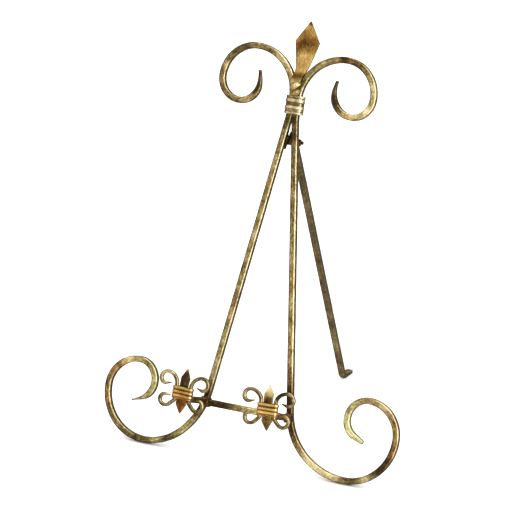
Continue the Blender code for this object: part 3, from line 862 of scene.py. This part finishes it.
def make_collar():
    """The reeded collar round the two legs, with painted light on its right and dark at its back."""
    half_x = COLLARED_HALF_SPACING + BAR / 2 + 0.8
    half_y = BAR / 2 + 0.2
    matrix = plane(COLLAR_ACROSS, COLLAR_MIDDLE, 0.0)
    collar, reed = reeded("top_collar_reeded", matrix, half_x, half_y, 0.8, COLLAR_HEIGHT, COLLAR_WALL,
                          COLLAR_REEDS, 0.55, 53.0)

    def tone(points):
        # Painted light: the right of the collar is made brighter.
        painted_light_on_right = smooth(2.0, 8.0, points[:, 0])
        at_back = smooth(0.0, -4.5, depth(points))
        return 0.46 * reed + 0.14 * painted_light_on_right - 0.30 * at_back
    paint(collar, gold=0.13, facing=0.04, wear_and_highlight=0.5, shade=0.6, warmth=0.5, tone=tone)
    finish(collar, "warm_gold", "frame", "top_collar", metal="pale_gold")


# The finial's centre line as (up, forward), and its half width, thickness and twist in degrees by height
FINIAL_SIDE_VIEW = ((366.0, 4.2), (374.0, 5.0), (380.3, 4.2), (384.8, 1.8), (389.0, -2.0), (396.0, -5.2),
                    (408.0, -7.4), (420.0, -8.6), (440.5, -10.0))
FINIAL_OUTLINE = ((366.0, 4.2), (370.0, 4.7), (376.0, 4.8), (380.0, 5.6), (386.0, 5.4), (390.0, 5.8),
                  (420.0, 13.1), (440.7, 0.35))
FINIAL_THICKNESS = ((366.0, 5.0), (372.0, 7.0), (377.0, 7.0), (382.0, 4.4), (388.0, 2.8), (392.0, 2.6),
                    (425.0, 2.4), (440.5, 1.4))
FINIAL_TWIST = ((366.0, 0.0), (367.0, 0.0), (375.5, -115.0), (379.5, -180.0), (441.0, -180.0))
FINIAL_STEP = 0.5

# Heights on the finial where its tone changes: a painted dark reflection arcs across the widest level, a
# painted sheen lies on the blade below it, the tip darkens, painted shade lies in the fold at the neck and
# a painted highlight lies on the root.
PAINTED_DARK_REFLECTION_ARC = 419.0
DARK_TIP = (435.0, 440.0)
PAINTED_BLADE_SHEEN = (414.0, 404.0)
PAINTED_NECK_SHADE = 385.5
PAINTED_ROOT_HIGHLIGHT = 378.5


def through(knots, count):
    """Catmull-Rom curve through knots."""
    knots = np.array(knots)
    padded = np.vstack((2 * knots[0] - knots[1], knots, 2 * knots[-1] - knots[-2]))
    points = []
    for place in np.linspace(0.0, len(knots) - 1.0, count):
        span = min(int(place), len(knots) - 2)
        share = place - span
        before, start, end, after = padded[span:span + 4]
        points.append(0.5 * (2 * start + (end - before) * share
                             + (2 * before - 5 * start + 4 * end - after) * share**2
                             + (3 * start - before - 3 * end + after) * share**3))
    return np.array(points)


def finial_tone_and_light(points):
    """Amber at the tip, a painted dark reflection across the widest level, a painted sheen below it,
    painted shade at the neck and a painted highlight on the root.
    """
    local = points @ np.array(FRAME.to_3x3())
    across = local[:, 0]
    up = local[:, 1] - np.array(FRAME.translation) @ np.array(FRAME.to_3x3())[:, 1]
    arch = up + 0.035 * across**2 - 0.15 * across
    # Painted dark reflection along the arc and a painted sheen on the blade below it.
    tone = -0.15 * np.exp(-((arch - PAINTED_DARK_REFLECTION_ARC) / 5.5) ** 2) - 0.12
    tone += 0.17 * smooth(*PAINTED_BLADE_SHEEN, arch) * smooth(386.0, 394.0, up)
    tone -= 0.5 * smooth(*DARK_TIP, up)
    # Painted shade in the fold at the neck and a painted highlight on the root below it.
    tone -= 0.24 * np.exp(-((up - PAINTED_NECK_SHADE) / 2.4) ** 2)
    tone += 0.30 * np.exp(-((up - PAINTED_ROOT_HIGHLIGHT) / 3.5) ** 2) + 0.12 * smooth(380.0, 376.0, up)
    return tone


def make_finial():
    """A forged leaf: its twisted root stands in front of the legs and its blade leans back."""
    spine = even(through(FINIAL_SIDE_VIEW, 300), FINIAL_STEP)
    steps = np.gradient(spine, axis=0)
    steps /= np.linalg.norm(steps, axis=1)[:, None]
    rotation = FRAME.to_3x3()
    across = np.array(rotation @ Vector((1.0, 0.0, 0.0)))
    rows = []
    for (height, forward), (up, lean) in zip(spine, steps):
        half, thickness, turn = (float(np.interp(height, *np.array(table).T))
                                 for table in (FINIAL_OUTLINE, FINIAL_THICKNESS, FINIAL_TWIST))
        twist = math.radians(turn)
        normal = np.array(rotation @ Vector((0.0, -lean, up)))
        side = math.cos(twist) * across + math.sin(twist) * normal
        facing = math.cos(twist) * normal - math.sin(twist) * across
        centre = np.array(FRAME @ Vector((0.0, height, forward)))
        rows.append((centre, side, facing, half, min(thickness / 2, half), 0.0))
    leaf_piece = leaf("top_finial_forged", rows, corner=0.5)
    paint(leaf_piece, gold=0.36, facing=0.10, wear_and_highlight=0.22, shade=0.2, tone=finial_tone_and_light, warmth=0.5,
          warm_dabs=[(spot(0.0, 374.0, 5.0), 14.0, -0.6)])
    finish(leaf_piece, "amber_gold", "frame", "top_finial")


# ---------------- hinge and strut

LEAN = math.radians(FRAME_LEAN)
PIVOT_Y = PIVOT_HEIGHT * math.sin(LEAN) + PIVOT_BEHIND * math.cos(LEAN) - ORIGIN_BEHIND_FRONT_FEET
PIVOT_Z = PIVOT_HEIGHT * math.cos(LEAN) - PIVOT_BEHIND * math.sin(LEAN)
PIVOT = Vector((0.0, PIVOT_Y, PIVOT_Z))
SIDE_VIEW = Matrix.Translation(PIVOT) @ Matrix(((0, 0, 1), (1, 0, 0), (0, 1, 0))).to_4x4()


def make_strut():
    """The rear leg: its upper end is its stop, and its foot is hammered thin at the end."""
    heading = STRUT_SLOPE - 90.0
    bend_tangent = STRUT_BEND_RADIUS * math.tan(math.radians(-heading / 2))
    run = (PIVOT.z - BAR / 2) / math.cos(math.radians(STRUT_SLOPE)) - bend_tangent
    path = [-STRUT_HEEL * along(heading)]
    straight(path, heading, STRUT_HEEL + run)
    heading = arc(path, heading, STRUT_BEND_RADIUS, -heading)
    for step in range(STRUT_FOOT_STEPS):
        path.append(path[-1] + np.array((STRUT_FOOT, -STRUT_FOOT_DROP)) / STRUT_FOOT_STEPS)

    def scales(place, total):
        thin = 1.0 - smooth(0.0, STRUT_FOOT, total - place)
        heel = 0.7 + 0.3 * smooth(0.0, 7.0, place)
        return (1.0 - 0.42 * thin) * heel, 1.0 + 0.16 * thin
    strut = sweep("rear_leg_forged", path, SIDE_VIEW, BAR, BAR, BAR_CORNER, scales, forged=0.13, seed=61.0)
    foot = (PIVOT.x, PIVOT.y + path[-1][0], 2.0)
    shin = tuple(SIDE_VIEW @ Vector((*(path[1] * 0.86), 0.0)))
    ankle = (PIVOT.x, foot[1] - 14.0, 18.0)
    paint(strut, gold=0.15, facing=0.05, wear_and_highlight=0.6, warmth=0.35,
          dabs=[(foot, 16.0, 0.06), (shin, 30.0, 0.08)], warm_dabs=[(ankle, 26.0, 0.35)])
    finish(strut, "dark_gold", "rear_leg", "rear_leg", metal="pale_gold")


def make_bracket():
    """A strap bent into a U: its web lies across the backs of the legs and its ears carry the pin."""
    matrix = plane(0.0, PIVOT_HEIGHT, 0.0) @ Matrix.Rotation(math.radians(-90.0), 4, "X")
    ear = STRAP_INSIDE + STRAP / 2
    back = PIVOT_BEHIND + EAR_RADIUS
    reach_back = back - ear - STRAP_BEND
    path = [np.array((-ear, back))]
    heading = straight(path, -90.0, reach_back)
    heading = arc(path, heading, STRAP_BEND, 90.0)
    heading = straight(path, heading, 2 * (ear - STRAP_BEND))
    heading = arc(path, heading, STRAP_BEND, 90.0)
    straight(path, heading, reach_back)

    def ears(run, total):
        from_end = min(run, total - run)
        return 1.0, math.sqrt(max(0.04, 1.0 - max(0.0, 1.0 - from_end / EAR_RADIUS) ** 2))
    bracket = sweep("hinge_bracket_forged", path, matrix, STRAP, 2 * EAR_RADIUS, 0.5, ears, forged=0.12,
                    seed=71.0, spacing=0.4, end_round=0.2, steps=(3, 6))
    paint(bracket, gold=0.0, facing=0.04, wear_and_highlight=0.1, warmth=0.5)
    finish(bracket, "blackened_gold", "frame", "hinge_bracket")


# The pin's (across, radius) stations: a domed head on the left and a peened end on the right
PIN_STATIONS = ((-7.2, 0.3), (-7.1, 1.2), (-6.7, 2.0), (-6.1, 2.5), (-5.5, 2.6), (-5.45, 1.3), (0.0, 1.3),
                (5.4, 1.3), (5.6, 2.6), (6.3, 3.3), (7.0, 3.0), (7.5, 1.9), (8.2, 1.7), (9.0, 1.8),
                (9.7, 1.2), (9.9, 0.3))
PIN_SIDES = 20
PEENED_FROM = 5.5
PEENED_UNEVENNESS = 0.35


def make_pin():
    """The hinge pin, whose peened end is uneven."""
    rings = []
    for x, radius in PIN_STATIONS:
        ring = []
        for step in range(PIN_SIDES):
            angle = math.tau * step / PIN_SIDES
            ragged = 1.0
            if x > PEENED_FROM:
                place = Vector((0.8 * x, 1.6 * math.cos(angle), 1.6 * math.sin(angle)))
                ragged += PEENED_UNEVENNESS * noise.noise(place)
            ring.append((PIVOT.x + x, PIVOT.y + radius * ragged * math.cos(angle),
                         PIVOT.z + radius * ragged * math.sin(angle)))
        rings.append(ring)
    pin = skin("hinge_pin_peened", np.array(rings))
    paint(pin, gold=0.0, facing=0.02, wear_and_highlight=0.08, warmth=0.4)
    finish(pin, "blackened_gold", "frame", "hinge_pin")


# ---------------- welds

WELD_VOXEL = 0.35
WELD_LUMP = 2.2
WELD_UNEVENNESS = 0.3
WELD_STREAK = 1.5

# Lumps round a bar's end: (half size, forward, radius)
ARM_WELD = (3.1, BAR / 2 + 0.3, 1.7)
BAND_WELD = (2.9, ARM_REACH - BAND_DEPTH - 0.4, 1.1)
CROSSBAR_LUMP = 1.9
GUSSET_LEVELS = np.arange(-7.0, 5.1, 1.0)
GUSSET_SHOULDER = 3.5


def weld(name, lumps, seed, gold=0.02, warmth=0.6):
    """A weld: balls (centre, radius) run together into one lumpy bead."""
    form = bmesh.new()
    for centre, radius in lumps:
        matrix = Matrix.Translation(Vector(centre) * MM)
        bmesh.ops.create_icosphere(form, subdivisions=3, radius=radius * MM, matrix=matrix)
    mesh = bpy.data.meshes.new(name)
    form.to_mesh(mesh)
    form.free()
    item = add_to_scene(name, mesh)
    remesh = item.modifiers.new("run_together", "REMESH")
    remesh.mode = "VOXEL"
    remesh.voxel_size = WELD_VOXEL * MM
    soften = item.modifiers.new("soften", "SMOOTH")
    soften.factor = 0.5
    soften.iterations = 4
    bpy.context.view_layer.update()
    graph = bpy.context.evaluated_depsgraph_get()
    baked = bpy.data.meshes.new_from_object(item.evaluated_get(graph))
    item.modifiers.clear()
    item.data = baked
    baked.name = name
    points = np.array([vertex.co for vertex in baked.vertices]) / MM
    normals = np.array([vertex.normal for vertex in baked.vertices])
    points += normals * (WELD_UNEVENNESS * ripple(points, WELD_LUMP, seed))[:, None]
    baked.vertices.foreach_set("co", (points * MM).ravel())
    streaks = baked.attributes.new("grain", "FLOAT_VECTOR", "POINT")
    streaks.data.foreach_set("vector", (points / WELD_STREAK).astype(np.float32).ravel())
    baked.shade_smooth()
    baked.update()
    paint(item, gold=gold, facing=0.08, wear_and_highlight=0.12, shade=0.1, warmth=warmth)
    finish(item, "blackened_gold", "frame")


def ring_of_lumps(centre, half, forward, radius, count=12):
    """Lumps of uneven size round a square, whose sides are half away from its centre."""
    lumps = []
    for step in range(count):
        angle = math.tau * step / count
        across = centre[0] + half * max(-1.0, min(1.0, 1.35 * math.cos(angle)))
        up = centre[1] + half * max(-1.0, min(1.0, 1.35 * math.sin(angle)))
        lumps.append((spot(across, up, forward), radius * (0.85 + 0.3 * ((step * 7) % 5) / 4)))
    return lumps


def make_welds():
    """The welds at the ends of the crossbar and the arms, behind the bands and beside the bracket."""
    for side, sign in SIDES:
        inner = sign * (across_at(side, CROSSBAR_HEIGHT) - BAR / 2)
        lumps = []
        for up in (-3.0, 0.0, 3.0):
            for forward in (-2.6, 0.0, 2.8):
                if up or forward:
                    lumps.append((spot(inner - sign * 0.7, CROSSBAR_HEIGHT + up, forward), CROSSBAR_LUMP))
        weld(side + "_crossbar_weld", lumps, 81.0 + sign)
        arm = (sign * across_at(side, ARM_HEIGHT), ARM_HEIGHT)
        weld(side + "_arm_weld", ring_of_lumps(arm, *ARM_WELD), 85.0 + sign)
        band = (arm[0], ARM_HEIGHT + ARM_REACH * math.tan(math.radians(ARM_RISE)))
        weld(side + "_band_weld", ring_of_lumps(band, *BAND_WELD), 89.0 + sign, gold=0.16)
        gusset = []
        for up in GUSSET_LEVELS:
            leg_side = across_at(side, PIVOT_HEIGHT + up) - BAR / 2 * 0.9
            reach = 1.6 + 0.12 * (up - GUSSET_LEVELS[0]) if up < GUSSET_SHOULDER else 1.2
            gusset.append((spot(sign * leg_side, PIVOT_HEIGHT + up, -BAR / 2 - 0.2), reach))
        weld(side + "_bracket_weld", gusset, 93.0 + sign, gold=0.0, warmth=0.5)


# ---------------- studio

CAMERA_AZIMUTH = 26.46
CAMERA_ELEVATION = 20.22
CAMERA_DISTANCE = 2606.5
CAMERA_TARGET = Vector((23.1, -ORIGIN_BEHIND_FRONT_FEET, 222.6))
CAMERA_LENS = 188.3
FLOOR_HALF = 12.0
FLOOR_COLOUR = (0.93, 0.93, 0.93, 1.0)
SKY_STRENGTH = 0.46
CEILING_STRENGTH = 4.0
CEILING_SPREAD = 140.0
CEILING_TILT = (18.0, -8.0, 0.0)
SOFTBOX_PLACE = Vector((1.9, -0.85, 0.55))
SOFTBOX_TARGET = Vector((0.0, 0.0, 0.2))
SOFTBOX_SIZE = (0.7, 1.5)
SOFTBOX_POWER = 26.0


def make_camera():
    """The view from the front right, a little above the easel."""
    azimuth = math.radians(CAMERA_AZIMUTH)
    elevation = math.radians(CAMERA_ELEVATION)
    back = Vector((math.sin(azimuth) * math.cos(elevation), -math.cos(azimuth) * math.cos(elevation),
                   math.sin(elevation)))
    data = bpy.data.cameras.new("camera")
    data.lens = CAMERA_LENS
    data.clip_start = 0.1
    data.clip_end = 50.0
    camera = add_to_scene("camera", data)
    camera.location = (CAMERA_TARGET + CAMERA_DISTANCE * back) * MM
    camera.rotation_euler = (-back).to_track_quat("-Z", "Y").to_euler()
    bpy.context.scene.camera = camera


def make_floor():
    """A plain pale floor."""
    mesh = bpy.data.meshes.new("floor")
    corners = [(x * FLOOR_HALF, y * FLOOR_HALF, 0.0) for x, y in ((-1, -1), (1, -1), (1, 1), (-1, 1))]
    mesh.from_pydata(corners, [], [(0, 1, 2, 3)])
    floor = add_to_scene("floor", mesh)
    material = bpy.data.materials.new("floor")
    material.use_nodes = True
    shader = material.node_tree.nodes["Principled BSDF"]
    shader.inputs["Base Color"].default_value = FLOOR_COLOUR
    shader.inputs["Roughness"].default_value = 0.9
    shader.inputs["Specular IOR Level"].default_value = 0.0
    mesh.materials.append(material)


def make_lights():
    """An even white sky, a broad ceiling light and one softbox on the right."""
    world = bpy.data.worlds.new("studio")
    world.use_nodes = True
    sky = world.node_tree.nodes["Background"]
    sky.inputs["Color"].default_value = (1.0, 1.0, 1.0, 1.0)
    sky.inputs["Strength"].default_value = SKY_STRENGTH
    bpy.context.scene.world = world
    sun = bpy.data.lights.new("ceiling", "SUN")
    sun.energy = CEILING_STRENGTH
    sun.angle = math.radians(CEILING_SPREAD)
    ceiling = add_to_scene("ceiling", sun)
    ceiling.rotation_euler = tuple(math.radians(angle) for angle in CEILING_TILT)
    panel = bpy.data.lights.new("right_softbox", "AREA")
    panel.shape = "RECTANGLE"
    panel.size, panel.size_y = SOFTBOX_SIZE
    panel.energy = SOFTBOX_POWER
    softbox = add_to_scene("right_softbox", panel)
    softbox.location = SOFTBOX_PLACE
    softbox.rotation_euler = (SOFTBOX_TARGET - SOFTBOX_PLACE).to_track_quat("-Z", "Y").to_euler()


make_legs()
make_crossbar()
make_arms()
make_ornaments()
make_collar()
make_finial()
make_strut()
make_bracket()
make_pin()
make_welds()
make_floor()
make_lights()
make_camera()
bpy.context.scene.view_settings.view_transform = "Standard"
